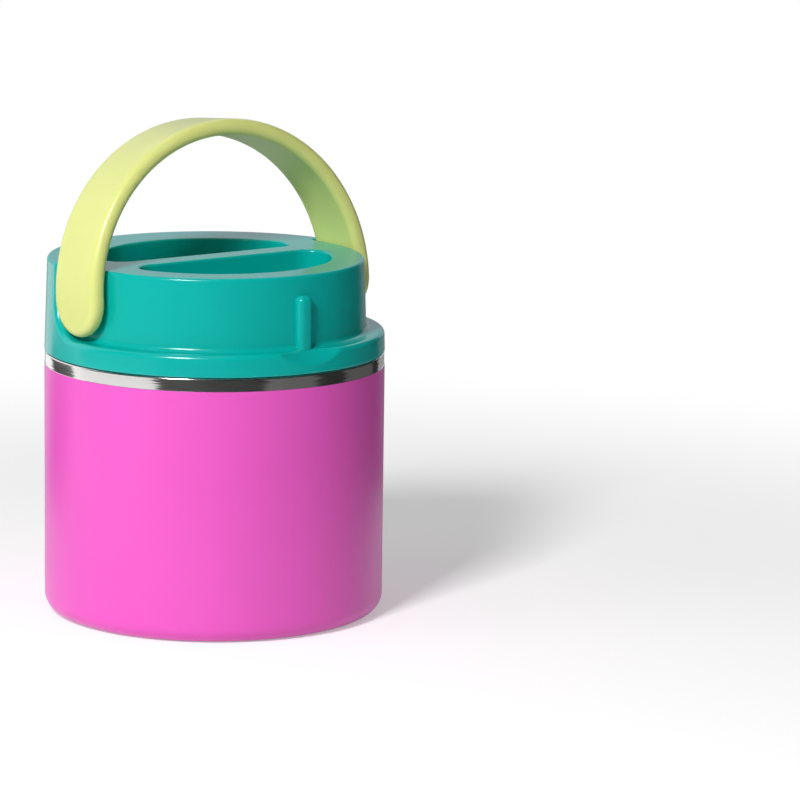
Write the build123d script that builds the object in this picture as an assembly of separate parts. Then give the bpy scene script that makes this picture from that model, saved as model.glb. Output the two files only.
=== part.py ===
from build123d import *
import math
import os

# Insulated food jar: a double-walled steel jar under vacuum, a screw-on lid with an insulated
# plug, and a carry handle that folds about two snap-in studs.
# Millimetres, +Z up. The origin is the centre of the base. The handle's pivot axis is along X,
# and the lid's open recess, its rib and its finger scoop face -Y.

# ---------------------------------------------------------------- driving dimensions: jar
body_radius = 52.0  # outside of the powder-coated wall, and of the lid
shoulder_height = 80.4  # flat top of the outer shell, round the neck
coat_thickness = 0.15
band_width = 3.9  # bare steel between the coat and the lid
shell_wall = 0.6
shoulder_rounding = 0.4
neck_foot_rounding = 1.2
foot_rounding = 5.1

neck_height = 12.6  # mouth's rim over the shoulder
neck_gap = 0.6  # vacuum space between the two walls of the neck
rim_thickness = 0.6  # the liner's lip, welded on top of the outer neck
rim_rounding = 0.25

base_seam_rise = 2.9  # weld between the base cup and the shell, over the foot's rounding
base_ring_width = 13.0  # the jar stands on the flat of this ring
base_ring_rounding = 1.5
base_recess_depth = 1.8
port_recess_radius = 17.0
port_pit_radius = 5.5
port_pit_depth = 1.9
port_pit_slope = 20.0  # degrees off upright
port_hole_radius = 0.8
cover_thickness = 0.5
cover_clearance = 0.2
cover_chamfer = 0.15
seal_radius = 3.2
seal_thickness = 0.9
seal_rounding = 0.7
getter_radius = 5.0
getter_thickness = 2.2
getter_rounding = 0.5
getter_offset = 27.0  # from the jar's axis

liner_wall = 0.5
vacuum_gap = 3.95  # between the liner and the outer shell
base_gap = 1.7  # between the liner and the port's pit
liner_floor_rounding = 8.0
liner_shoulder_drop = 4.4  # the liner's neck begins this far below the outer shoulder
liner_shoulder_length = 6.0
liner_shoulder_rounding = 3.0

# ---------------------------------------------------------------- driving dimensions: lid
lid_gap = 0.2  # between the lid's skirt and the jar's shoulder
lid_height = 28.6
lid_draft = 1.9  # degrees
lid_top_rounding = 1.0
lid_foot_rounding = 0.5
skirt_wall = 2.3
deck_wall = 2.4

ledge_height = 6.7  # height of the flange that is left under the recess
ledge_width = 5.75
ledge_rounding = 1.5
recess_draft = 2.2  # degrees
recess_step = 11.93  # the recess ends this far behind the pivot axis
recess_foot_rounding = 1.5
recess_wall = 2.35  # at the ledge

thread_depth = 1.6  # room for the thread between the neck and the threaded skirt
thread_skirt_wall = 2.3
thread_skirt_lift = 1.1  # foot of the threaded skirt over the jar's shoulder

well_bridge = 8.4  # width of the bridge between the two finger wells
well_margin = 8.4  # from the inside of the threaded skirt in to the wells
well_corner_radius = 6.5
well_edge_rounding = 0.8
well_wall = 2.2
well_draft = 3.0  # degrees
weld_ring_wall = 2.2
weld_ring_offset = 3.5  # outside of the weld ring, from the edge of the wells

rib_width = 5.1
rib_reach = 2.2  # how far the rib stands out of the recess wall at the ledge
rib_height = 16.0
rib_rounding = 1.9

scoop_depth = 3.9  # below the ledge, at the outer face
scoop_radius = 48.0
scoop_start = 1.9  # along the ledge, from the recess wall to the scoop
scoop_edge_rounding = 1.3
scoop_block_half_width = 21.0  # the flange is solid behind the scoop

# ---------------------------------------------------------------- driving dimensions: lid inside
gasket_thickness = 1.5
gasket_clearance = 0.4  # round the plug
gasket_overhang = 0.1  # past the rim
gasket_rounding = 0.5
plug_clearance = 0.9  # between the plug and the mouth
plug_depth = 8.4  # below the rim
plug_wall = 1.8
plug_rounding = 2.5
plug_inner_rounding = 1.2
plug_flange_clearance = 1.1  # inside the threaded skirt
plug_flange_thickness = 1.5
plug_flange_rounding = 0.3
foam_clearance = 0.1

# ---------------------------------------------------------------- driving dimensions: handle
pivot_drop = 9.6  # pivot axis below the lid's top
handle_clearance = 0.55  # between the strap and the recess wall, at the pivot
handle_thickness = 5.0
handle_width = 22.0
handle_edge_rounding = 2.3
handle_rest_gap = 0.07  # left between the strap and the recess step where the handle rests
stud_radius = 3.2
stud_clearance = 0.05
barb_radius = 3.8
barb_tip_radius = 2.9
barb_length = 1.4
barb_gap = 0.3  # between the barb and the inside of the wall it snaps behind
stud_slot_width = 1.2
stud_slot_depth = 3.6


def cone_radius(foot_radius, draft, rise):
    """Radius of a drafted wall at a height above its foot."""
    return foot_radius - rise * math.tan(math.radians(draft))


# ---------------------------------------------------------------- heights that follow
base_seam_height = foot_rounding + base_seam_rise
port_pit_top = base_recess_depth + cover_thickness + port_pit_depth
liner_floor = port_pit_top + shell_wall + base_gap + liner_wall
coat_top = shoulder_height - band_width
rim_height = shoulder_height + neck_height
neck_top = rim_height - rim_thickness
flange_underside = rim_height + gasket_thickness
flange_top = flange_underside + plug_flange_thickness
plug_floor = rim_height - plug_depth
lid_foot = shoulder_height + lid_gap
lid_top = lid_foot + lid_height
ledge = lid_foot + ledge_height
deck_underside = lid_top - deck_wall
pivot_height = lid_top - pivot_drop

# ---------------------------------------------------------------- radii that follow
steel_radius = body_radius - coat_thickness
shell_bore = steel_radius - shell_wall
liner_radius = shell_bore - vacuum_gap - liner_wall
lid_radius = body_radius
recess_radius = lid_radius - ledge_width
thread_bore_radius = recess_radius - recess_wall
thread_skirt_radius = thread_bore_radius + thread_skirt_wall
neck_radius = thread_bore_radius - thread_depth
neck_bore = neck_radius - shell_wall
mouth_radius = neck_bore - neck_gap - liner_wall
plug_radius = mouth_radius - plug_clearance
well_radius = thread_bore_radius - well_margin
handle_inner_radius = handle_clearance + cone_radius(
    recess_radius, recess_draft, pivot_height - ledge
)

# The handle leans back until its strap meets the upper edge of the recess step.
step_reach = recess_step - handle_rest_gap
step_rise = pivot_drop - lid_top_rounding
step_distance = math.hypot(step_reach, step_rise)
handle_lean = math.acos(handle_width / 2 / step_distance) - math.atan2(step_rise, step_reach)

clear = body_radius * 2  # cutters reach this far, past every wall
ON_FLOOR = (Align.CENTER, Align.CENTER, Align.MIN)
BEHIND = (Align.CENTER, Align.MIN, Align.MIN)


def turned(*corners):
    """Solid of revolution about Z. Each corner of the outline is (radius, height, rounding)."""
    points = [(radius, height) for radius, height, rounding in corners]
    roundings = [rounding for radius, height, rounding in corners]
    outline = FilletPolyline(*points, radius=roundings, close=True)
    return revolve(make_face(Plane.XZ * outline), Axis.Z)


def pressed(wall, *corners):
    """Sheet of even thickness turned about Z. The wall lies on the left of the corner path."""
    points = [(radius, height) for radius, height, rounding in corners]
    roundings = [rounding for radius, height, rounding in corners[1:-1]]
    path = FilletPolyline(*points, radius=roundings)
    outline = offset(path, amount=wall, side=Side.LEFT)
    return revolve(make_face(Plane.XZ * outline), Axis.Z)


# ---------------------------------------------------------------- jar


def make_outer_shell():
    """Coated wall, bare band, flat shoulder and neck, drawn from one sheet."""
    return turned(
        (shell_bore, base_seam_height, 0),
        (body_radius, base_seam_height, 0),
        (body_radius, coat_top, 0),
        (steel_radius, coat_top, 0),
        (steel_radius, shoulder_height, shoulder_rounding),
        (neck_radius, shoulder_height, neck_foot_rounding),
        (neck_radius, neck_top, 0),
        (neck_bore, neck_top, 0),
        (neck_bore, shoulder_height - shell_wall, neck_foot_rounding + shell_wall),
        (shell_bore, shoulder_height - shell_wall, 0),
    )


def make_base_cup():
    """Foot of the outer wall, with a raised centre, a seat for the cover and the port's pit."""
    cover_seat = base_recess_depth + cover_thickness
    slope = port_pit_depth * math.tan(math.radians(port_pit_slope))
    ring_inner = body_radius - base_ring_width
    return pressed(
        shell_wall,
        (port_hole_radius, port_pit_top, 0),
        (port_pit_radius, port_pit_top, 0),
        (port_pit_radius + slope, cover_seat, 0),
        (port_recess_radius, cover_seat, 0),
        (port_recess_radius + cover_thickness, base_recess_depth, 0),
        (ring_inner - base_recess_depth, base_recess_depth, base_ring_rounding),
        (ring_inner, 0, base_ring_rounding),
        (body_radius, 0, foot_rounding),
        (body_radius, base_seam_height, 0),
    )


def make_base_cover_disc():
    """Thin disc that hides the evacuation port, flush with the raised centre of the base."""
    radius = port_recess_radius - cover_clearance
    disc = Pos(0, 0, base_recess_depth) * Cylinder(radius, cover_thickness, align=ON_FLOOR)
    lower_edge = disc.edges().filter_by(GeomType.CIRCLE).sort_by(Axis.Z)[0]
    return chamfer(lower_edge, cover_chamfer)


def make_vacuum_port_seal():
    """Bead of sealing glass melted over and into the evacuation hole."""
    bead_foot = port_pit_top - seal_thickness
    return turned(
        (0, bead_foot, 0),
        (seal_radius, bead_foot, seal_rounding),
        (seal_radius, port_pit_top, 0),
        (port_hole_radius, port_pit_top, 0),
        (port_hole_radius, port_pit_top + shell_wall, 0),
        (0, port_pit_top + shell_wall, 0),
    )


def make_getter():
    """Pressed getter pill on the raised base, in the vacuum space."""
    seat = base_recess_depth + shell_wall
    pill = Pos(getter_offset, 0, seat) * Cylinder(getter_radius, getter_thickness, align=ON_FLOOR)
    upper_edge = pill.edges().filter_by(GeomType.CIRCLE).sort_by(Axis.Z)[-1]
    return fillet(upper_edge, getter_rounding)


def make_inner_liner():
    """Food vessel with a drawn-in mouth, and a lip that is welded on top of the outer neck."""
    shoulder_top = shoulder_height - liner_shoulder_drop
    vessel = pressed(
        liner_wall,
        (mouth_radius, neck_top, 0),
        (mouth_radius, shoulder_top, liner_shoulder_rounding),
        (liner_radius, shoulder_top - liner_shoulder_length, liner_shoulder_rounding),
        (liner_radius, liner_floor, liner_floor_rounding),
        (0, liner_floor, 0),
    )
    lip = turned(
        (mouth_radius, neck_top, 0),
        (neck_radius, neck_top, 0),
        (neck_radius, rim_height, rim_rounding),
        (mouth_radius, rim_height, rim_rounding),
    )
    return vessel + lip


# ---------------------------------------------------------------- lid cap


def make_lid_envelope():
    """Outside of the lid: drafted skirt, with the recess for the handle cut round the front."""
    top_radius = cone_radius(lid_radius, lid_draft, lid_height)
    envelope = turned(
        (0, lid_foot, 0),
        (lid_radius, lid_foot, lid_foot_rounding),
        (top_radius, lid_top, 0),
        (0, lid_top, 0),
    )
    wall_top = cone_radius(recess_radius, recess_draft, lid_top - ledge)
    outside = turned(
        (recess_radius, ledge, 0),
        (clear, ledge, 0),
        (clear, lid_top, 0),
        (wall_top, lid_top, 0),
    )
    side_view = make_face(
        Plane.YZ
        * (
            Polyline((0, ledge), (-clear, ledge), (-clear, lid_top), (recess_step, lid_top))
            + Line((recess_step, lid_top), (recess_step, ledge + recess_step))
            + RadiusArc((recess_step, ledge + recess_step), (0, ledge), recess_step)
        )
    )
    recess = outside & extrude(side_view, clear, both=True)
    return envelope - recess


def place_radius(edge):
    """Distance of an edge's middle from the Z axis."""
    middle = edge @ 0.5
    return math.hypot(middle.X, middle.Y)


def round_recess(lid):
    """Round the foot of the recess wall, the ledge with the step behind it, and the top."""
    between_walls = (recess_radius + lid_radius) / 2
    curved = [e for e in lid.edges() if e.geom_type != GeomType.LINE]
    above = [e for e in curved if ledge - 0.1 < (e @ 0.5).Z < lid_top - 0.1]
    lid = fillet([e for e in above if place_radius(e) < between_walls], recess_foot_rounding)

    curved = [e for e in lid.edges() if e.geom_type != GeomType.LINE]
    above = [e for e in curved if ledge - 0.1 < (e @ 0.5).Z < lid_top - 0.1]
    lid = fillet([e for e in above if place_radius(e) > between_walls], ledge_rounding)

    return fillet([e for e in lid.edges() if (e @ 0.5).Z > lid_top - 0.01], lid_top_rounding)


def finger_scoop():
    """Sloping round cutter that opens the front of the flange below the rib."""
    start = recess_radius + scoop_start
    slope = math.atan2(scoop_depth, lid_radius - start)
    out, up = -math.sin(slope), math.cos(slope)
    centre_y = -start + scoop_radius * out
    centre_z = ledge + scoop_radius * up
    turn = 90 - math.degrees(slope)
    roller = Pos(0, centre_y, centre_z) * Rot(-turn, 0, 0) * Cylinder(scoop_radius, clear * 2)
    flange_front = Pos(0, -lid_radius, lid_foot) * Box(clear, lid_radius, ledge_height, align=ON_FLOOR)
    return roller & flange_front


def front_rib():
    """Upright rib on the middle of the recess wall, which the folded handle comes to rest on."""
    depth = rib_reach + recess_foot_rounding
    foot = ledge - recess_foot_rounding
    height = rib_height + recess_foot_rounding
    block = Pos(0, -recess_radius - rib_reach, foot) * Box(rib_width, depth, height, align=BEHIND)
    outer = block.edges().filter_by(Axis.Z).group_by(Axis.Y)[0]
    block = fillet(outer, rib_rounding)
    top_edges = block.faces().sort_by(Axis.Z)[-1].edges()
    return fillet(top_edges.sort_by(Axis.Y)[:-1], rib_rounding)


def finger_well(side, depth, grow=0.0):
    """Half-round pocket on one side of the bridge, narrowing downwards from the lid's top."""
    straight = well_bridge / 2 - grow
    disc = Circle(well_radius + grow)
    keep = Rectangle(clear, clear, align=(Align.CENTER, Align.MIN))
    half = disc & (Pos(0, straight) * keep)
    outline = fillet(half.vertices(), well_corner_radius + grow)
    pocket = extrude(Pos(0, 0, lid_top) * outline, -depth, taper=well_draft)
    return pocket if side > 0 else mirror(pocket, Plane.XZ)


def lid_hollow():
    """Space inside the threaded skirt, up to the underside of the deck."""
    return turned(
        (0, lid_foot - deck_wall, 0),
        (thread_bore_radius, lid_foot - deck_wall, 0),
        (thread_bore_radius, deck_underside, 0),
        (0, deck_underside, 0),
    )


def skirt_gap():
    """Space between the outer and the threaded skirt, deeper behind the recess step."""
    inner = thread_skirt_radius
    low = lid_foot - deck_wall
    ceiling = ledge - deck_wall
    outer_foot = lid_radius - skirt_wall
    outer_top = cone_radius(outer_foot, lid_draft, lid_height - deck_wall)
    below_ledge = turned(
        (inner, low, 0), (outer_foot, low, 0), (outer_foot, ceiling, 0), (inner, ceiling, 0)
    )
    block_width = scoop_block_half_width * 2
    scoop_block = Pos(0, -lid_radius, low) * Box(block_width, lid_radius, lid_height, align=ON_FLOOR)
    full_height = turned(
        (inner, low, 0),
        (outer_foot, lid_foot, 0),
        (outer_top, deck_underside, 0),
        (inner, deck_underside, 0),
    )
    behind = Pos(0, recess_step + deck_wall, low) * Box(clear, clear, clear, align=BEHIND)
    return (below_ledge - scoop_block) + (full_height & behind)


def make_lid_cap():
    """Moulded cap: drafted skirt, recess, rib, scoop, finger wells, threaded skirt, stud bores."""
    cap = round_recess(make_lid_envelope()) - finger_scoop()
    scoop_face = cap.faces().filter_by(GeomType.CYLINDER).sort_by(Axis.Y)[0]
    cap = fillet(scoop_face.edges(), scoop_edge_rounding) + front_rib()

    well_floor = flange_top + well_wall
    tub_depth = lid_top - flange_top
    weld_ring_radius = well_radius + weld_ring_offset
    weld_ring = turned(
        (weld_ring_radius - weld_ring_wall, flange_top, 0),
        (weld_ring_radius, flange_top, 0),
        (weld_ring_radius, deck_underside, 0),
        (weld_ring_radius - weld_ring_wall, deck_underside, 0),
    )
    hollow = lid_hollow() - weld_ring
    for side in (-1, 1):
        hollow = hollow - finger_well(side, tub_depth, well_wall)
    cap = cap - hollow - skirt_gap()
    for side in (-1, 1):
        cap = cap - finger_well(side, lid_top - well_floor)
    top_edges = [e for e in cap.edges() if (e @ 0.5).Z > lid_top - 0.01]
    cap = fillet([e for e in top_edges if place_radius(e) < well_radius + 0.1], well_edge_rounding)

    skirt_trim = turned(
        (0, lid_foot - deck_wall, 0),
        (thread_skirt_radius, lid_foot - deck_wall, 0),
        (thread_skirt_radius, shoulder_height + thread_skirt_lift, 0),
        (0, shoulder_height + thread_skirt_lift, 0),
    )
    bore_radius = stud_radius + stud_clearance
    bore = Pos(0, 0, pivot_height) * Rot(0, 90, 0) * Cylinder(bore_radius, clear * 2)
    bores = bore - Cylinder(weld_ring_radius, clear * 2)
    return cap - skirt_trim - bores


# ---------------------------------------------------------------- inside of the lid


def make_lid_liner():
    """Plug that closes the mouth, with the flange that is welded under the cap."""
    inner = plug_radius - plug_wall
    flange_radius = thread_bore_radius - plug_flange_clearance
    return turned(
        (0, plug_floor, 0),
        (plug_radius, plug_floor, plug_rounding),
        (plug_radius, flange_underside, 0),
        (flange_radius, flange_underside, plug_flange_rounding),
        (flange_radius, flange_top, plug_flange_rounding),
        (inner, flange_top, 0),
        (inner, plug_floor + plug_wall, plug_inner_rounding),
        (0, plug_floor + plug_wall, 0),
    )


def make_lid_foam():
    """Insulating disc inside the plug."""
    radius = plug_radius - plug_wall - foam_clearance
    seat = plug_floor + plug_wall
    return turned(
        (0, seat, 0),
        (radius, seat, plug_inner_rounding),
        (radius, flange_top - foam_clearance, 0),
        (0, flange_top - foam_clearance, 0),
    )


def make_lid_gasket():
    """Silicone ring between the mouth's rim and the flange of the plug."""
    inner = plug_radius + gasket_clearance
    outer = neck_radius + gasket_overhang
    return turned(
        (inner, rim_height, gasket_rounding),
        (outer, rim_height, gasket_rounding),
        (outer, flange_underside, gasket_rounding),
        (inner, flange_underside, gasket_rounding),
    )


# ---------------------------------------------------------------- handle


def snap_stud():
    """Split stud that snaps through the lid's wall, its barb behind it, on the +X side."""
    barb_face = thread_bore_radius - barb_gap
    tip = barb_face - barb_length
    root = handle_inner_radius + handle_thickness / 2
    profile = make_face(
        Polyline(
            (root, 0),
            (root, stud_radius),
            (barb_face, stud_radius),
            (barb_face, barb_radius),
            (tip, barb_tip_radius),
            (tip, 0),
            close=True,
        )
    )
    stud = revolve(profile, Axis.X)
    slot_middle = tip + stud_slot_depth / 2
    slot = Pos(slot_middle, 0, 0) * Box(stud_slot_depth, stud_slot_width, barb_radius * 3)
    return Pos(0, 0, pivot_height) * (stud - slot)


def make_carry_handle():
    """Half-round strap about the pivot axis, its ends rounded about the studs."""
    half_width = handle_width / 2
    middle = handle_inner_radius + handle_thickness / 2
    pivot = (0, 0, pivot_height)
    strip = RectangleRounded(handle_thickness, handle_width, handle_edge_rounding)
    section = Pos(middle, 0, pivot_height) * strip
    arch = revolve(section, Axis(pivot, (0, -1, 0)), 180)
    behind = Pos(middle, 0, pivot_height) * Rectangle(
        handle_thickness * 2, half_width * 2, align=(Align.CENTER, Align.MIN)
    )
    end = revolve(section & behind, Axis(pivot, (-1, 0, 0)), 180)
    half = end + snap_stud()
    handle = arch + half + mirror(half, Plane.YZ)
    upright = Pos(*pivot) * Rot(-math.degrees(handle_lean), 0, 0) * Pos(0, 0, -pivot_height)
    return upright * handle


# ---------------------------------------------------------------- files

nodes = {
    "outer_shell": make_outer_shell,
    "base_cup": make_base_cup,
    "base_cover_disc": make_base_cover_disc,
    "vacuum_port_seal": make_vacuum_port_seal,
    "getter": make_getter,
    "inner_liner": make_inner_liner,
    "lid_cap": make_lid_cap,
    "lid_liner": make_lid_liner,
    "lid_foam": make_lid_foam,
    "lid_gasket": make_lid_gasket,
    "carry_handle": make_carry_handle,
}

os.makedirs("parts", exist_ok=True)
for name, make in nodes.items():
    export_step(make(), f"parts/{name}.step")
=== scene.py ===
import math

import bpy
from bpy.props import FloatProperty, FloatVectorProperty, PointerProperty
from mathutils import Matrix, Vector


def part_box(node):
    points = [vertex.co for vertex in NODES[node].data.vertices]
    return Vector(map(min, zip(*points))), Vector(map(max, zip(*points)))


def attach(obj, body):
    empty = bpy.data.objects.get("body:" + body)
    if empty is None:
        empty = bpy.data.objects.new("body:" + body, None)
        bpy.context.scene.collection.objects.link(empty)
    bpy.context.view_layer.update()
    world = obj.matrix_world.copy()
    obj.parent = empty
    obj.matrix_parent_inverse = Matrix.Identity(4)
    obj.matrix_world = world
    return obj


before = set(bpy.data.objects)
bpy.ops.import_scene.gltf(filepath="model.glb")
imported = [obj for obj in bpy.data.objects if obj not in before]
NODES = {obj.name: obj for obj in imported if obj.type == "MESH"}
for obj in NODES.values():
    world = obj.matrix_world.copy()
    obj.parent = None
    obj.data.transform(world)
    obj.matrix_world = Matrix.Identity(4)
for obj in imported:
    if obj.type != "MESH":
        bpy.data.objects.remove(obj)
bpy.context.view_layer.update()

bl_info = {
    "name": "Insulated food jar",
    "version": (1, 0, 0),
    "blender": (4, 5, 0),
    "location": "View3D > Sidebar > Food jar",
    "description": "Dresses the steel food jar with its coat, plastics, screw threads and studio",
    "category": "Object",
}

MM = 0.001
WHITE = (1.0, 1.0, 1.0, 1.0)

# Gaps that the frame leaves, by which the walls are found from the boxes beside them.
LID_GAP = 0.2 * MM  # from the jar's shoulder up to the lid's lower edge
GASKET_OVERHANG = 0.1 * MM  # from the neck out to the gasket's rim
FLANGE_GAP = 1.1 * MM  # from the plug's flange out to the lid's bore
# The coat stands 0.15 mm proud of the bare band. This much of it tells the two apart, and is
# more than a facet sags.
COAT_MARGIN = 0.06 * MM

# How the threads are drawn.
STEPS_PER_TURN = 96
RUN_OUT_STEPS = 12
RUN_OUT_DEPTH = 0.1  # share of its depth that a thread keeps at its very end, within the wall
SMOOTH_ANGLE = math.radians(40)

# The studio, in metres.
AIM_HEIGHT = 60 * MM  # the lamps point at the jar's middle
FLOOR_RADIUS = 4.0
FLOOR_DROP = 0.05 * MM  # keeps the floor's face off the foot's
FLAG_LIFT = 0.5 * MM  # over the floor
# Inner and outer radius of what a flag covers.
NEAR_FLOOR = (0.2, 0.62)
FAR_FLOOR = (0.62, 1.3)
WHOLE_FLOOR = (0.2, 1.29)
BACK_EDGE = (1.29, 1.3)


def linear(hex_colour):
    """Linear RGBA of an sRGB hex colour."""
    channels = [int(hex_colour[i : i + 2], 16) / 255 for i in (1, 3, 5)]
    curve = [c / 12.92 if c <= 0.04045 else ((c + 0.055) / 1.055) ** 2.4 for c in channels]
    return (*curve, 1.0)


# ---------------------------------------------------------------- sizes and colours to change


def colour_property(name, description, hex_colour):
    """Colour that a user can change."""
    return FloatVectorProperty(
        name=name,
        description=description,
        subtype="COLOR",
        size=4,
        min=0.0,
        max=1.0,
        default=linear(hex_colour),
    )


def length_property(name, description, millimetres):
    """Length that a user can change."""
    return FloatProperty(
        name=name,
        description=description,
        subtype="DISTANCE",
        unit="LENGTH",
        precision=5,
        min=0.0,
        default=millimetres * MM,
    )


class FOODJAR_PG_colours(bpy.types.PropertyGroup):
    """Colours of the jar's finishes."""

    coat: colour_property("Powder coat", "Colour of the sprayed wall", "#EC58C5")
    steel: colour_property("Steel", "Tint of the bare stainless steel", "#F2F1EF")
    lid: colour_property("Lid", "Colour of the moulded lid", "#00AEA6")
    handle: colour_property("Handle", "Colour of the moulded handle", "#D9DF88")
    plug: colour_property("Plug", "Colour of the plug inside the lid", "#E3E2DD")
    gasket: colour_property("Gasket", "Colour of the silicone ring", "#E8E7E3")
    foam: colour_property("Foam", "Colour of the insulating disc", "#F2EEE2")
    glass: colour_property("Sealing glass", "Colour of the melted vacuum seal", "#3A3836")
    getter: colour_property("Getter", "Colour of the pressed getter pill", "#6E6A66")


class FOODJAR_PG_thread(bpy.types.PropertyGroup):
    """Sizes of the screw thread between the neck and the lid."""

    pitch: length_property("Pitch", "Rise of the thread in one turn", 4.0)
    root_width: length_property("Root width", "Width of a thread where it leaves the wall", 2.3)
    crest_width: length_property("Crest width", "Width of a thread at its top", 0.9)
    crest_rounding: length_property("Crest rounding", "Rounding of a thread's top corners", 0.3)
    neck_depth: length_property("Neck depth", "How far the neck's thread stands out", 1.1)
    lid_depth: length_property("Lid depth", "How far the lid's thread stands in", 1.1)
    sink: length_property("Sink", "How far a thread's root reaches into its wall", 0.25)
    neck_start: length_property("Neck start", "Height of the neck thread over the shoulder", 4.3)
    lid_offset: length_property("Lid offset", "The lid's thread lies this far below", 1.9)
    neck_turns: FloatProperty(name="Neck turns", description="Turns on the neck", default=1.5)
    lid_turns: FloatProperty(name="Lid turns", description="Turns in the lid", default=1.25)


class FOODJAR_PG_studio(bpy.types.PropertyGroup):
    """Floor, lamps and camera."""

    floor: colour_property("Floor", "Colour of the pale floor", "#EDEDED")
    ambient: FloatProperty(
        name="Ambient", description="Strength of the even light from all round", default=0.18
    )
    key_power: FloatProperty(
        name="Key", description="Power of the main softbox", unit="POWER", default=11.6
    )
    fill_power: FloatProperty(
        name="Fill", description="Power of the wide softbox on the right", unit="POWER", default=0.3
    )
    wall_power: FloatProperty(
        name="Wall", description="Power of the low light on the left", unit="POWER", default=2.2
    )
    lens: FloatProperty(
        name="Lens", description="Focal length", subtype="DISTANCE_CAMERA", default=196.84
    )
    distance: length_property("Distance", "Camera to the jar's axis, along the floor", 1318.6)
    height: length_property("Height", "Camera above the floor", 313.2)
    azimuth: FloatProperty(
        name="Azimuth", description="Side that is seen", subtype="ANGLE", default=-0.6004
    )
    yaw: FloatProperty(name="Yaw", description="Turn off the axis", subtype="ANGLE", default=0.0431)
    pitch: FloatProperty(name="Pitch", description="Look down", subtype="ANGLE", default=0.1861)
    roll: FloatProperty(name="Roll", description="Tilt", subtype="ANGLE", default=-0.0134)


# ---------------------------------------------------------------- shader helpers


def new_material(name):
    """Empty node material, and its tree."""
    material = bpy.data.materials.new(name)
    material.use_nodes = True
    material.node_tree.nodes.clear()
    return material, material.node_tree


def add_node(tree, kind, inputs=None, **settings):
    """Add a node with its settings. Inputs are values, or the sockets that feed them."""
    node = tree.nodes.new(kind)
    for name, value in settings.items():
        setattr(node, name, value)
    for key, value in (inputs or {}).items():
        if isinstance(value, bpy.types.NodeSocket):
            tree.links.new(value, node.inputs[key])
        else:
            node.inputs[key].default_value = value
    return node


def shade(colour, factor):
    """A colour made lighter or darker by a factor."""
    return (*(min(1.0, c * factor) for c in colour[:3]), 1.0)


def dress(node_name, *materials):
    """Give a CAD node its materials. Its faces keep the first one until they are sorted."""
    slots = NODES[node_name].data.materials
    slots.clear()
    for material in materials:
        slots.append(material)


# ---------------------------------------------------------------- finishes


def powder_coat(colours):
    """Polyester powder, sprayed on steel and baked: satin, with a faint orange peel that softens
    the edges of what it mirrors."""
    material, tree = new_material("satin_powder_coat")
    place = add_node(tree, "ShaderNodeTexCoord").outputs["Object"]
    # Orange peel rolls over about 1.8 mm, and grains of powder about 0.35 mm across show in it.
    peel = add_node(
        tree, "ShaderNodeTexNoise", {"Vector": place, "Scale": 1 / (1.8 * MM), "Detail": 2.0}
    )
    grain = add_node(
        tree, "ShaderNodeTexNoise", {"Vector": place, "Scale": 1 / (0.35 * MM), "Detail": 1.0}
    )
    # The film's thickness drifts over some 25 mm, which shifts the colour a little.
    drift = add_node(
        tree, "ShaderNodeTexNoise", {"Vector": place, "Scale": 1 / (25 * MM), "Detail": 3.0}
    )
    colour = add_node(
        tree,
        "ShaderNodeMix",
        {0: drift.outputs[0], 6: shade(colours.coat, 0.965), 7: shade(colours.coat, 1.035)},
        data_type="RGBA",
    )
    roughness = add_node(
        tree, "ShaderNodeMapRange", {"Value": grain.outputs[0], "To Min": 0.3, "To Max": 0.38}
    )
    peel_bump = add_node(
        tree,
        "ShaderNodeBump",
        {"Height": peel.outputs[0], "Strength": 0.35, "Distance": 0.05 * MM},
    )
    grain_bump = add_node(
        tree,
        "ShaderNodeBump",
        {
            "Height": grain.outputs[0],
            "Strength": 0.3,
            "Distance": 0.012 * MM,
            "Normal": peel_bump.outputs["Normal"],
        },
    )
    surface = add_node(
        tree,
        "ShaderNodeBsdfPrincipled",
        {
            "Base Color": colour.outputs[2],
            "Roughness": roughness.outputs["Result"],
            "IOR": 1.5,
            "Normal": grain_bump.outputs["Normal"],
        },
    )
    add_node(tree, "ShaderNodeOutputMaterial", {"Surface": surface.outputs["BSDF"]})
    return material


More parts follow.
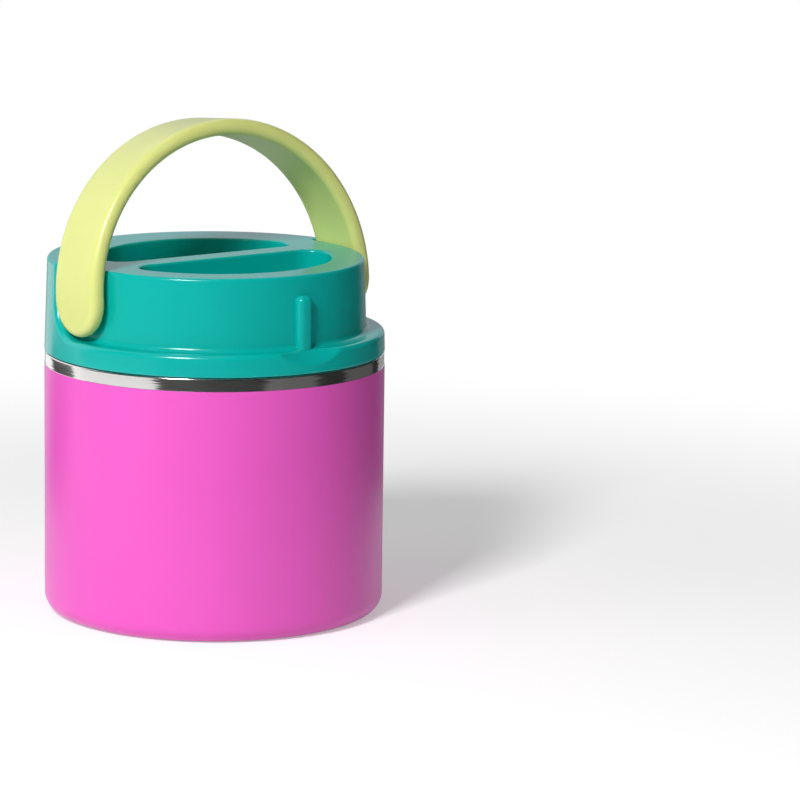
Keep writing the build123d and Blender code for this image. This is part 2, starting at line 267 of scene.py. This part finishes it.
def ring_brushed_steel(name, colours, roughness, tilt):
    """Stainless steel turned under a brush: fine lines run round the axis, and what it mirrors
    frays into level streaks. Tilt is how far the lines lean the surface sideways."""
    material, tree = new_material(name)
    place = add_node(tree, "ShaderNodeTexCoord").outputs["Object"]
    flat = add_node(tree, "ShaderNodeVectorMath", {0: place, 1: (1, 1, 0)}, operation="MULTIPLY")
    radius = add_node(tree, "ShaderNodeVectorMath", {0: flat.outputs[0]}, operation="LENGTH")
    around = add_node(tree, "ShaderNodeVectorMath", {0: flat.outputs[0]}, operation="NORMALIZE")
    height = add_node(tree, "ShaderNodeSeparateXYZ", {0: place})
    # Lines lie about 0.4 mm apart over the height and the radius, coarser than real ones, which
    # would be too fine to show. Each runs some 25 mm round the jar, because the direction from
    # the axis moves slowly through the noise.
    lines_per_metre = 1 / (0.4 * MM)
    line_height = add_node(
        tree,
        "ShaderNodeMath",
        {0: height.outputs["Z"], 1: lines_per_metre},
        operation="MULTIPLY",
    )
    line_radius = add_node(
        tree,
        "ShaderNodeMath",
        {0: radius.outputs["Value"], 1: lines_per_metre},
        operation="MULTIPLY",
    )
    slow = add_node(
        tree, "ShaderNodeVectorMath", {0: around.outputs[0], "Scale": 2.0}, operation="SCALE"
    )
    up = add_node(tree, "ShaderNodeCombineXYZ", {"Z": line_height.outputs[0]})
    path = add_node(
        tree, "ShaderNodeVectorMath", {0: slow.outputs[0], 1: up.outputs[0]}, operation="ADD"
    )
    lines = add_node(
        tree,
        "ShaderNodeTexNoise",
        {"Vector": path.outputs[0], "W": line_radius.outputs[0], "Scale": 1.0, "Detail": 3.0},
        noise_dimensions="4D",
    )
    tone = add_node(
        tree,
        "ShaderNodeMix",
        {0: lines.outputs[0], 6: shade(colours.steel, 0.93), 7: shade(colours.steel, 1.06)},
        data_type="RGBA",
    )
    spread = add_node(
        tree,
        "ShaderNodeMapRange",
        {"Value": lines.outputs[0], "To Min": roughness * 0.8, "To Max": roughness * 1.2},
    )
    bump = add_node(
        tree,
        "ShaderNodeBump",
        {"Height": lines.outputs[0], "Strength": 0.25, "Distance": 0.01 * MM},
    )
    # Each line leans its own way along the tangent, so the edges of reflections are ragged.
    tangent = add_node(tree, "ShaderNodeTangent", direction_type="RADIAL", axis="Z")
    lean = add_node(
        tree,
        "ShaderNodeMapRange",
        {
            "Value": lines.outputs[0],
            "From Min": 0.25,
            "From Max": 0.75,
            "To Min": -tilt,
            "To Max": tilt,
        },
    )
    sideways = add_node(
        tree,
        "ShaderNodeVectorMath",
        {0: tangent.outputs[0], "Scale": lean.outputs["Result"]},
        operation="SCALE",
    )
    leaning = add_node(
        tree,
        "ShaderNodeVectorMath",
        {0: bump.outputs["Normal"], 1: sideways.outputs[0]},
        operation="ADD",
    )
    normal = add_node(tree, "ShaderNodeVectorMath", {0: leaning.outputs[0]}, operation="NORMALIZE")
    surface = add_node(
        tree,
        "ShaderNodeBsdfPrincipled",
        {
            "Base Color": tone.outputs[2],
            "Metallic": 1.0,
            "Roughness": spread.outputs["Result"],
            "Anisotropic": 0.6,
            "Anisotropic Rotation": 0.25,
            "Tangent": tangent.outputs[0],
            "Normal": normal.outputs[0],
        },
    )
    add_node(tree, "ShaderNodeOutputMaterial", {"Surface": surface.outputs["BSDF"]})
    return material


def moulded_plastic(name, colour, roughness, softness, light_depth=1.2 * MM):
    """Polypropylene or the like, moulded in a polished tool: a soft gloss that waves faintly
    where the part shrank, and a glow where light goes a little way in. Softness is the share of
    light that does."""
    material, tree = new_material(name)
    place = add_node(tree, "ShaderNodeTexCoord").outputs["Object"]
    # Shrinkage waves are about 9 mm long, and the tool's polish leaves marks near 0.5 mm.
    shrink = add_node(
        tree, "ShaderNodeTexNoise", {"Vector": place, "Scale": 1 / (9 * MM), "Detail": 1.0}
    )
    polish = add_node(
        tree, "ShaderNodeTexNoise", {"Vector": place, "Scale": 1 / (0.5 * MM), "Detail": 2.0}
    )
    # The melt's flow leaves clouds of slightly different tone, some 18 mm across.
    flow = add_node(
        tree,
        "ShaderNodeTexNoise",
        {"Vector": place, "Scale": 1 / (18 * MM), "Detail": 2.0, "Distortion": 0.6},
    )
    tone = add_node(
        tree,
        "ShaderNodeMix",
        {0: flow.outputs[0], 6: shade(colour, 0.96), 7: shade(colour, 1.04)},
        data_type="RGBA",
    )
    spread = add_node(
        tree,
        "ShaderNodeMapRange",
        {"Value": polish.outputs[0], "To Min": roughness * 0.96, "To Max": roughness * 1.04},
    )
    wave = add_node(
        tree,
        "ShaderNodeBump",
        {"Height": shrink.outputs[0], "Strength": 0.3, "Distance": 0.04 * MM},
    )
    marks = add_node(
        tree,
        "ShaderNodeBump",
        {
            "Height": polish.outputs[0],
            "Strength": 0.03,
            "Distance": 0.001 * MM,
            "Normal": wave.outputs["Normal"],
        },
    )
    # Light of the plastic's own colour goes deepest, and the rest a tenth as far or more.
    least = 0.1
    depths = tuple(max(least, c / max(colour[:3])) for c in colour[:3])
    surface = add_node(
        tree,
        "ShaderNodeBsdfPrincipled",
        {
            "Base Color": tone.outputs[2],
            "Roughness": spread.outputs["Result"],
            "IOR": 1.49,
            "Subsurface Weight": softness,
            "Subsurface Radius": depths,
            "Subsurface Scale": light_depth,
            "Normal": marks.outputs["Normal"],
        },
    )
    add_node(tree, "ShaderNodeOutputMaterial", {"Surface": surface.outputs["BSDF"]})
    return material


# ---------------------------------------------------------------- the jar


class FOODJAR_OT_wall(bpy.types.Operator):
    """Coat the outer wall and the foot, and leave the band, shoulder and neck in bare steel"""

    bl_idname = "food_jar.wall"
    bl_label = "Outer wall"

    def execute(self, context):
        colours = context.scene.food_jar_colours
        coat = powder_coat(colours)
        # The bare band and neck keep the brush's finish: bright, with ragged reflections.
        steel = ring_brushed_steel("brushed_stainless_steel", colours, 0.16, 0.05)
        dress("outer_shell", coat, steel)
        dress("base_cup", coat, steel)
        coated_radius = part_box("base_cup")[1].x - COAT_MARGIN
        for face in NODES["outer_shell"].data.polygons:
            coated = face.center.xy.length > coated_radius
            face.material_index = 0 if coated else 1
        # On the foot, faces that look out or down are coated. The rest are in the vacuum.
        for face in NODES["base_cup"].data.polygons:
            outward = face.normal.xy.dot(face.center.xy.normalized())
            coated = outward > 0.3 or face.normal.z < -0.1
            face.material_index = 0 if coated else 1
        return {"FINISHED"}


class FOODJAR_OT_inside(bpy.types.Operator):
    """Finish the food vessel, the base cover, the vacuum seal and the getter"""

    bl_idname = "food_jar.inside"
    bl_label = "Inside and base"

    def execute(self, context):
        colours = context.scene.food_jar_colours
        # The vessel is polished while it turns, so its lines are faint and its shine is soft.
        dress("inner_liner", ring_brushed_steel("polished_stainless_liner", colours, 0.22, 0.015))
        # The disc is punched from spun sheet and left duller.
        dress("base_cover_disc", ring_brushed_steel("spun_stainless_disc", colours, 0.28, 0.03))
        # A bead of dark solder glass, melted in the vacuum: hard gloss.
        dress("vacuum_port_seal", moulded_plastic("sealing_glass", colours.glass, 0.15, 0.0))
        # Metal powder pressed into a pill: dull and grey.
        dress("getter", moulded_plastic("pressed_getter_powder", colours.getter, 0.7, 0.0))
        return {"FINISHED"}


def select_vertices(piece, chosen):
    """In edit mode, select just the vertices that a test picks."""
    bpy.ops.mesh.select_all(action="DESELECT")
    bpy.ops.object.mode_set(mode="OBJECT")
    for vertex in piece.data.vertices:
        vertex.select = chosen(vertex)
    bpy.ops.object.mode_set(mode="EDIT")


def add_thread(name, material, root, crest, start_height, turns, sizes):
    """Right-hand thread from a root radius, in the wall that carries it, to a crest radius. Its
    profile is shaped from a plane, screwed round the axis, and run out at both ends."""
    bpy.ops.object.select_all(action="DESELECT")
    middle = (root + crest) / 2
    depth = abs(crest - root)
    # The profile stands upright in front of the axis, wide at its root, and narrow and rounded
    # at its crest. Only its outline is kept.
    bpy.ops.mesh.primitive_plane_add(size=1.0, rotation=(math.radians(90), 0, 0))
    thread = bpy.context.object
    thread.name = name
    bpy.ops.object.transform_apply(location=True, rotation=True, scale=True)
    bpy.ops.object.mode_set(mode="EDIT")
    bpy.ops.mesh.select_all(action="SELECT")
    bpy.ops.transform.resize(value=(depth, 1.0, sizes.root_width))
    bpy.ops.transform.translate(value=(middle, 0.0, start_height))
    select_vertices(thread, lambda v: abs(v.co.x - crest) < depth / 4)
    bpy.ops.transform.resize(value=(1.0, 1.0, sizes.crest_width / sizes.root_width))
    bpy.ops.mesh.bevel(offset=sizes.crest_rounding, segments=3, affect="VERTICES")
    bpy.ops.mesh.select_all(action="SELECT")
    bpy.ops.mesh.delete(type="ONLY_FACE")
    bpy.ops.object.mode_set(mode="OBJECT")
    profile_size = len(thread.data.vertices)

    steps = round(turns * STEPS_PER_TURN)
    screw = thread.modifiers.new("turns", "SCREW")
    screw.axis = "Z"
    screw.angle = turns * math.tau
    screw.screw_offset = turns * sizes.pitch
    screw.steps = steps
    screw.render_steps = steps
    bpy.ops.object.modifier_apply(modifier=screw.name)

    # Both ends are closed. Over the first and last steps, the thread rises out of its wall and
    # sinks back into it, each ring shrunk towards its own place on the root.
    bpy.ops.object.mode_set(mode="EDIT")
    bpy.ops.mesh.select_all(action="DESELECT")
    bpy.ops.mesh.select_mode(type="EDGE")
    bpy.ops.mesh.select_non_manifold()
    bpy.ops.mesh.fill_holes(sides=0)
    bpy.ops.mesh.select_mode(type="VERT")
    last = len(thread.data.vertices) // profile_size - 1
    for step in range(RUN_OUT_STEPS):
        rise = 0.5 - 0.5 * math.cos(math.pi * step / RUN_OUT_STEPS)
        kept = RUN_OUT_DEPTH + (1 - RUN_OUT_DEPTH) * rise
        for ring in (step, last - step):
            angle = ring * turns * math.tau / steps
            members = range(ring * profile_size, (ring + 1) * profile_size)
            select_vertices(thread, lambda v: v.index in members)
            bpy.ops.transform.resize(
                value=(kept, kept, 1.0),
                center_override=(root * math.cos(angle), root * math.sin(angle), 0.0),
            )
    bpy.ops.mesh.select_all(action="SELECT")
    bpy.ops.mesh.normals_make_consistent(inside=False)
    bpy.ops.object.mode_set(mode="OBJECT")
    bpy.ops.object.shade_smooth_by_angle(angle=SMOOTH_ANGLE)
    thread.data.materials.append(material)
    return thread


class FOODJAR_OT_neck_thread(bpy.types.Operator):
    """Add the thread that is rolled into the neck"""

    bl_idname = "food_jar.neck_thread"
    bl_label = "Neck thread"

    def execute(self, context):
        sizes = context.scene.food_jar_thread
        colours = context.scene.food_jar_colours
        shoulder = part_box("lid_cap")[0].z - LID_GAP
        neck_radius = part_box("lid_gasket")[1].x - GASKET_OVERHANG
        # Rolling stretches the brushed lines, so the thread shines more evenly than the neck.
        steel = ring_brushed_steel("rolled_stainless_thread", colours, 0.25, 0.02)
        thread = add_thread(
            "neck_thread",
            steel,
            neck_radius - sizes.sink,
            neck_radius + sizes.neck_depth,
            shoulder + sizes.neck_start,
            sizes.neck_turns,
            sizes,
        )
        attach(thread, "jar")
        return {"FINISHED"}


# ---------------------------------------------------------------- the lid


class FOODJAR_OT_lid(bpy.types.Operator):
    """Finish the lid's cap, plug, foam and gasket"""

    bl_idname = "food_jar.lid"
    bl_label = "Lid"

    def execute(self, context):
        colours = context.scene.food_jar_colours
        # Pigmented polypropylene from a polished tool: clear highlights on its edges.
        dress("lid_cap", moulded_plastic("moulded_polypropylene_lid", colours.lid, 0.2, 0.05))
        # The plug is the same plastic from a plainer tool, without pigment: satin and milky.
        dress("lid_liner", moulded_plastic("moulded_polypropylene_plug", colours.plug, 0.4, 0.1))
        # Silicone rubber from a blasted tool: matt, and light goes far into it.
        dress("lid_gasket", moulded_plastic("moulded_silicone", colours.gasket, 0.55, 0.2))
        # Closed-cell foam in the plug: without any shine.
        dress("lid_foam", moulded_plastic("insulating_foam", colours.foam, 0.9, 0.0))
        return {"FINISHED"}


class FOODJAR_OT_lid_thread(bpy.types.Operator):
    """Add the thread inside the lid's skirt"""

    bl_idname = "food_jar.lid_thread"
    bl_label = "Lid thread"

    def execute(self, context):
        sizes = context.scene.food_jar_thread
        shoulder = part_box("lid_cap")[0].z - LID_GAP
        bore_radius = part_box("lid_liner")[1].x + FLANGE_GAP
        thread = add_thread(
            "lid_thread",
            NODES["lid_cap"].data.materials[0],
            bore_radius + sizes.sink,
            bore_radius - sizes.lid_depth,
            shoulder + sizes.neck_start - sizes.lid_offset,
            sizes.lid_turns,
            sizes,
        )
        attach(thread, "lid")
        return {"FINISHED"}


# ---------------------------------------------------------------- the handle


class FOODJAR_OT_handle(bpy.types.Operator):
    """Finish the carry handle"""

    bl_idname = "food_jar.handle"
    bl_label = "Handle"

    def execute(self, context):
        colours = context.scene.food_jar_colours
        # Softer, paler polypropylene than the lid's: satin, and it glows a little at its edges.
        plastic = moulded_plastic(
            "moulded_polypropylene_handle", colours.handle, 0.28, 0.3, light_depth=2 * MM
        )
        dress("carry_handle", plastic)
        return {"FINISHED"}


# ---------------------------------------------------------------- stage


def aim(place, target):
    """Rotation that points a lamp's -Z from a place to a target."""
    return (Vector(target) - Vector(place)).to_track_quat("-Z", "Y").to_euler()


def add_softbox(name, azimuth, elevation, distance, width, height, power):
    """Lamp that looks at the jar's middle. Azimuth 0 is in front, and it grows to the right."""
    side, rise = math.radians(azimuth), math.radians(elevation)
    level = distance * math.cos(rise)
    place = (
        level * math.sin(side),
        -level * math.cos(side),
        AIM_HEIGHT + distance * math.sin(rise),
    )
    bpy.ops.object.light_add(
        type="AREA", location=place, rotation=aim(place, (0, 0, AIM_HEIGHT))
    )
    lamp = bpy.context.object
    lamp.name = name
    lamp.data.shape = "RECTANGLE"
    lamp.data.size = width
    lamp.data.size_y = height
    lamp.data.energy = power
    return lamp


def reflected_rays(tree):
    """1 for the rays that see the background: from the camera, in gloss and through a clear
    piece. Else 0."""
    path = add_node(tree, "ShaderNodeLightPath")
    seen = add_node(
        tree,
        "ShaderNodeMath",
        {0: path.outputs["Is Camera Ray"], 1: path.outputs["Is Glossy Ray"]},
        operation="MAXIMUM",
    )
    return add_node(
        tree,
        "ShaderNodeMath",
        {0: seen.outputs[0], 1: path.outputs["Is Transmission Ray"]},
        operation="MAXIMUM",
    ).outputs[0]


def studio_world(ambient):
    """Even light, and plain white wherever the background shows."""
    world = bpy.data.worlds.new("studio")
    world.use_nodes = True
    tree = world.node_tree
    tree.nodes.clear()
    even = add_node(tree, "ShaderNodeBackground", {"Color": WHITE, "Strength": ambient})
    white = add_node(tree, "ShaderNodeBackground", {"Color": WHITE, "Strength": 1.0})
    mixed = add_node(
        tree,
        "ShaderNodeMixShader",
        {0: reflected_rays(tree), 1: even.outputs[0], 2: white.outputs[0]},
    )
    add_node(tree, "ShaderNodeOutputWorld", {"Surface": mixed.outputs[0]})
    return world


def floor_paper(colour):
    """Matt white paper. Near the jar it takes the shadow, and further out it is plain white.
    Light bounces off it as off real paper, and only the rays that see it find it so bright."""
    material, tree = new_material("matt_white_paper")
    place = add_node(tree, "ShaderNodeTexCoord").outputs["Object"]
    reach = add_node(tree, "ShaderNodeVectorMath", {0: place}, operation="LENGTH")
    far = add_node(
        tree,
        "ShaderNodeMapRange",
        {"Value": reach.outputs["Value"], "From Min": 160 * MM, "From Max": 420 * MM},
        interpolation_type="SMOOTHSTEP",
    )
    paper = add_node(tree, "ShaderNodeBsdfDiffuse", {"Color": colour})
    # A little glow lifts the shadow to a soft grey.
    glow = add_node(tree, "ShaderNodeEmission", {"Color": WHITE, "Strength": 0.35})
    lit = add_node(tree, "ShaderNodeAddShader", {0: paper.outputs[0], 1: glow.outputs[0]})
    white = add_node(tree, "ShaderNodeEmission", {"Color": WHITE, "Strength": 1.0})
    faded = add_node(
        tree,
        "ShaderNodeMixShader",
        {0: far.outputs["Result"], 1: lit.outputs[0], 2: white.outputs[0]},
    )
    seen = add_node(
        tree,
        "ShaderNodeMixShader",
        {0: reflected_rays(tree), 1: paper.outputs[0], 2: faded.outputs[0]},
    )
    add_node(tree, "ShaderNodeOutputMaterial", {"Surface": seen.outputs[0]})
    return material


def grey_felt(name, hex_colour):
    """Felt of a studio flag: quite matt, so steel and gloss mirror it as an even tone."""
    material, tree = new_material(name)
    felt = add_node(tree, "ShaderNodeBsdfDiffuse", {"Color": linear(hex_colour)})
    add_node(tree, "ShaderNodeOutputMaterial", {"Surface": felt.outputs[0]})
    return material


def grey_card():
    """Grey card that gives off an even light of its own, like a card lit from behind, so it mirrors
    as one cool tone.
    """
    material, tree = new_material("grey_card")
    card = add_node(tree, "ShaderNodeEmission", {"Color": linear("#EAF4FF"), "Strength": 0.64})
    add_node(tree, "ShaderNodeOutputMaterial", {"Surface": card.outputs[0]})
    return material


def add_flag(name, start, end, radii, material, top, roof):
    """Arc of felt or card from one azimuth to another, in degrees. It lies on the floor between
    two radii, may stand up to a top at the outer one, and may lean in over the jar from there,
    to a roof's radius and height. Only gloss shows it."""
    inner, outer = radii
    bpy.ops.object.select_all(action="DESELECT")
    bpy.ops.mesh.primitive_circle_add(vertices=180, radius=inner, location=(0, 0, FLAG_LIFT))
    flag = bpy.context.object
    flag.name = name
    bpy.ops.object.transform_apply(location=True, rotation=True, scale=True)
    bpy.ops.object.mode_set(mode="EDIT")
    bpy.ops.mesh.select_all(action="SELECT")
    bpy.ops.mesh.extrude_region_move()
    bpy.ops.transform.resize(value=(outer / inner, outer / inner, 1.0))
    if top:
        bpy.ops.mesh.extrude_region_move(TRANSFORM_OT_translate={"value": (0.0, 0.0, top)})
    if roof:
        roof_radius, roof_height = roof
        bpy.ops.mesh.extrude_region_move(
            TRANSFORM_OT_translate={"value": (0.0, 0.0, roof_height - top)}
        )
        bpy.ops.transform.resize(value=(roof_radius / outer, roof_radius / outer, 1.0))
    bpy.ops.mesh.select_all(action="DESELECT")
    bpy.ops.object.mode_set(mode="OBJECT")
    for face in flag.data.polygons:
        azimuth = math.degrees(math.atan2(face.center.x, -face.center.y))
        face.select = not (start < azimuth < end or start < azimuth + 360 < end)
    bpy.ops.object.mode_set(mode="EDIT")
    bpy.ops.mesh.select_mode(type="FACE")
    bpy.ops.mesh.delete(type="FACE")
    bpy.ops.mesh.select_mode(type="VERT")
    bpy.ops.object.mode_set(mode="OBJECT")
    flag.data.materials.append(material)
    for ray in ("camera", "diffuse", "shadow", "transmission"):
        setattr(flag, f"visible_{ray}", False)


class FOODJAR_OT_stage(bpy.types.Operator):
    """Set up the floor, the softboxes, the flags, the background and the camera"""

    bl_idname = "food_jar.stage"
    bl_label = "Stage"

    def execute(self, context):
        studio = context.scene.food_jar_studio
        scene = context.scene
        scene.view_settings.view_transform = "Standard"
        scene.world = studio_world(studio.ambient)

        bpy.ops.object.select_all(action="DESELECT")
        bpy.ops.mesh.primitive_circle_add(
            vertices=128, radius=FLOOR_RADIUS, fill_type="NGON", location=(0, 0, -FLOOR_DROP)
        )
        floor = context.object
        floor.name = "floor"
        bpy.ops.object.transform_apply(location=True, rotation=True, scale=True)
        floor.data.materials.append(floor_paper(tuple(studio.floor)))

        # Flags shape what the steel and the plastics mirror. Their arcs are in degrees to the
        # right of the camera's side.
        camera_side = math.degrees(studio.azimuth)
        dark = grey_felt("dark_felt", "#383838")
        middle = grey_felt("mid_grey_felt", "#7C7C7C")
        light = grey_felt("light_felt", "#DCDCDC")
        card = grey_card()
        flags = (
            ("flag_near_front", -38, 33, NEAR_FLOOR, dark, 0.0, None),
            ("flag_near_front_grey", 33, 71, NEAR_FLOOR, middle, 0.0, None),
            ("flag_near_right", 71, 95, NEAR_FLOOR, dark, 0.0, None),
            ("flag_near_right_grey", 95, 128, NEAR_FLOOR, middle, 0.0, None),
            ("flag_near_right_end", 128, 140, NEAR_FLOOR, dark, 0.0, None),
            ("flag_near_left", -137, -105, NEAR_FLOOR, dark, 0.0, None),
            ("flag_right_end", 140, 200, WHOLE_FLOOR, light, 0.0, None),
            ("flag_far", -100, 147, FAR_FLOOR, dark, 1.0, (0.2, 1.5)),
            ("card_back", 147, 215, BACK_EDGE, card, 0.6, None),
        )
        for name, start, end, radii, material, top, roof in flags:
            add_flag(name, camera_side + start, camera_side + end, radii, material, top, roof)

        add_softbox(
            "key_softbox",
            azimuth=camera_side - 26,
            elevation=39,
            distance=1.2,
            width=0.25,
            height=0.3,
            power=studio.key_power,
        )
        add_softbox(
            "fill_softbox",
            azimuth=camera_side + 70,
            elevation=35,
            distance=1.6,
            width=0.9,
            height=0.9,
            power=studio.fill_power,
        )
        # The low light is a wide area lamp that stands in for light off a matt wall. Gloss is kept
        # from showing it, so it leaves no edge there.
        wall_light = add_softbox(
            "wall_light",
            azimuth=camera_side - 72,
            elevation=12,
            distance=1.2,
            width=0.6,
            height=0.5,
            power=studio.wall_power,
        )
        wall_light.visible_glossy = False

        turn = (
            Matrix.Rotation(studio.azimuth - studio.yaw, 3, "Z")
            @ Matrix.Rotation(math.pi / 2 - studio.pitch, 3, "X")
            @ Matrix.Rotation(-studio.roll, 3, "Z")
        )
        place = (
            studio.distance * math.sin(studio.azimuth),
            -studio.distance * math.cos(studio.azimuth),
            studio.height,
        )
        bpy.ops.object.camera_add(location=place, rotation=turn.to_euler())
        camera = context.object
        camera.data.lens = studio.lens
        camera.data.sensor_width = 36.0
        scene.camera = camera
        return {"FINISHED"}


class FOODJAR_PT_panel(bpy.types.Panel):
    """Lists the jar's pieces and the stage in the sidebar"""

    bl_label = "Food jar"
    bl_idname = "FOODJAR_PT_panel"
    bl_space_type = "VIEW_3D"
    bl_region_type = "UI"
    bl_category = "Food jar"

    def draw(self, context):
        for operator in OPERATORS:
            self.layout.operator(operator.bl_idname)
        for group in GROUPS:
            settings = getattr(context.scene, group)
            box = self.layout.box()
            for name in settings.bl_rna.properties.keys():
                if name not in ("rna_type", "name"):
                    box.prop(settings, name)


GROUPS = {
    "food_jar_colours": FOODJAR_PG_colours,
    "food_jar_thread": FOODJAR_PG_thread,
    "food_jar_studio": FOODJAR_PG_studio,
}
OPERATORS = (
    FOODJAR_OT_wall,
    FOODJAR_OT_inside,
    FOODJAR_OT_neck_thread,
    FOODJAR_OT_lid,
    FOODJAR_OT_lid_thread,
    FOODJAR_OT_handle,
    FOODJAR_OT_stage,
)


def register():
    for name, group in GROUPS.items():
        bpy.utils.register_class(group)
        setattr(bpy.types.Scene, name, PointerProperty(type=group))
    for operator in OPERATORS:
        bpy.utils.register_class(operator)
    bpy.utils.register_class(FOODJAR_PT_panel)


def unregister():
    bpy.utils.unregister_class(FOODJAR_PT_panel)
    for operator in reversed(OPERATORS):
        bpy.utils.unregister_class(operator)
    for name, group in GROUPS.items():
        delattr(bpy.types.Scene, name)
        bpy.utils.unregister_class(group)


def main():
    register()
    bpy.ops.food_jar.wall()
    bpy.ops.food_jar.inside()
    bpy.ops.food_jar.neck_thread()
    bpy.ops.food_jar.lid()
    bpy.ops.food_jar.lid_thread()
    bpy.ops.food_jar.handle()
    bpy.ops.food_jar.stage()


if __name__ == "__main__":
    main()
